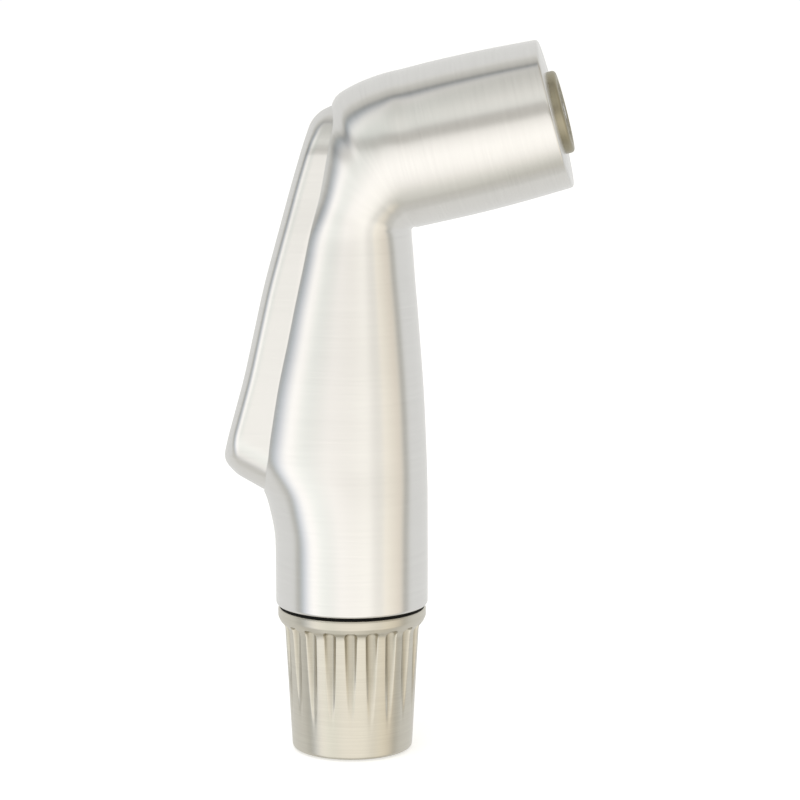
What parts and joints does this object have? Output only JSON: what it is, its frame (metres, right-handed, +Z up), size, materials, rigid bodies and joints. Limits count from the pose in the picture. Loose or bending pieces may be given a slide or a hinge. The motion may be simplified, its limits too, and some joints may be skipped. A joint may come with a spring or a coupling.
{
  "type": "hand spray head",
  "caption": "Metal hand spray head for a sink faucet: bent grip with a rear trigger lever, tilted round nozzle and a fluted hose collar.",
  "frame": {"origin": "centre of the collar's lower mouth, where the hose goes in", "axes": "+Z up the grip, +X the way the nozzle points, trigger lever on the -X side, XZ is the plane of symmetry"},
  "size_m": [0.0723, 0.0324, 0.149],
  "materials": {
    "body_nickel": "fine brushed satin nickel, brush lines round the grip",
    "lever_nickel": "fine brushed satin nickel",
    "collar_nickel": "warm satin nickel plating",
    "nozzle_finish": "warm satin nickel-coloured plastic",
    "spray_plate": "matt moulded plastic",
    "screw_steel": "stainless steel",
    "black_rubber": "matt nitrile rubber",
    "pin_steel": "stainless steel",
    "valve_brass": "turned brass",
    "inner_plastic": "white acetal moulding"
  },
  "bodies": {
    "grip": {"body_shell": "body_nickel", "nozzle_insert": "nozzle_finish", "spray_face": "spray_plate", "face_screw": "screw_steel", "collar_gasket": "black_rubber", "stem_oring": "black_rubber", "guide_oring": "black_rubber", "cap_oring": "black_rubber", "riser_lower_oring": "black_rubber", "riser_upper_oring": "black_rubber", "nozzle_washer": "black_rubber", "lever_pin": "pin_steel", "valve_spring": "pin_steel", "debris_screen": "pin_steel", "valve_seat": "valve_brass", "stem_guide": "valve_brass", "retaining_nut": "valve_brass", "valve_cap": "valve_brass", "waterway": "inner_plastic", "riser_tube": "inner_plastic", "pivot_block": "inner_plastic", "nozzle_holder": "inner_plastic", "diffuser": "inner_plastic", "flow_restrictor": "inner_plastic"},
    "lever": {"trigger_lever": "lever_nickel"},
    "valve": {"valve_stem": "valve_brass", "seat_washer": "black_rubber", "washer_clip": "pin_steel", "stem_button": "inner_plastic"},
    "hose_seal": {"snap_ring": "pin_steel", "hose_washer": "black_rubber"},
    "collar": {"hose_collar": "collar_nickel"}
  },
  "joints": [
    {"name": "lever_press", "type": "hinge", "parent": "grip", "child": "lever", "pos_m": [-0.0036, 0, 0.129], "axis": [0, -1, 0], "range_deg": [0, 4], "stiffness_Nm_per_rad": 1.5, "springref_deg": -2.86},
    {"name": "valve_stroke", "type": "slide", "parent": "grip", "child": "valve", "axis": [0.9435, 0, -0.3312], "range_m": [0, 0.0029], "deforming": ["valve_spring"]},
    {"name": "collar_travel", "type": "slide", "parent": "grip", "child": "hose_seal", "axis": [0, 0, -1], "range_m": [0, 0.00365]},
    {"name": "collar_turn", "type": "hinge", "parent": "hose_seal", "child": "collar", "pos_m": [0, 0, 0], "axis": [0, 0, -1], "range_deg": [0, 720]}
  ],
  "couplings": [
    {"joint": "valve_stroke", "follows": "lever_press", "m_per_rad": 0.03985},
    {"joint": "collar_travel", "follows": "collar_turn", "m_per_rad": 0.00028875}
  ]
}
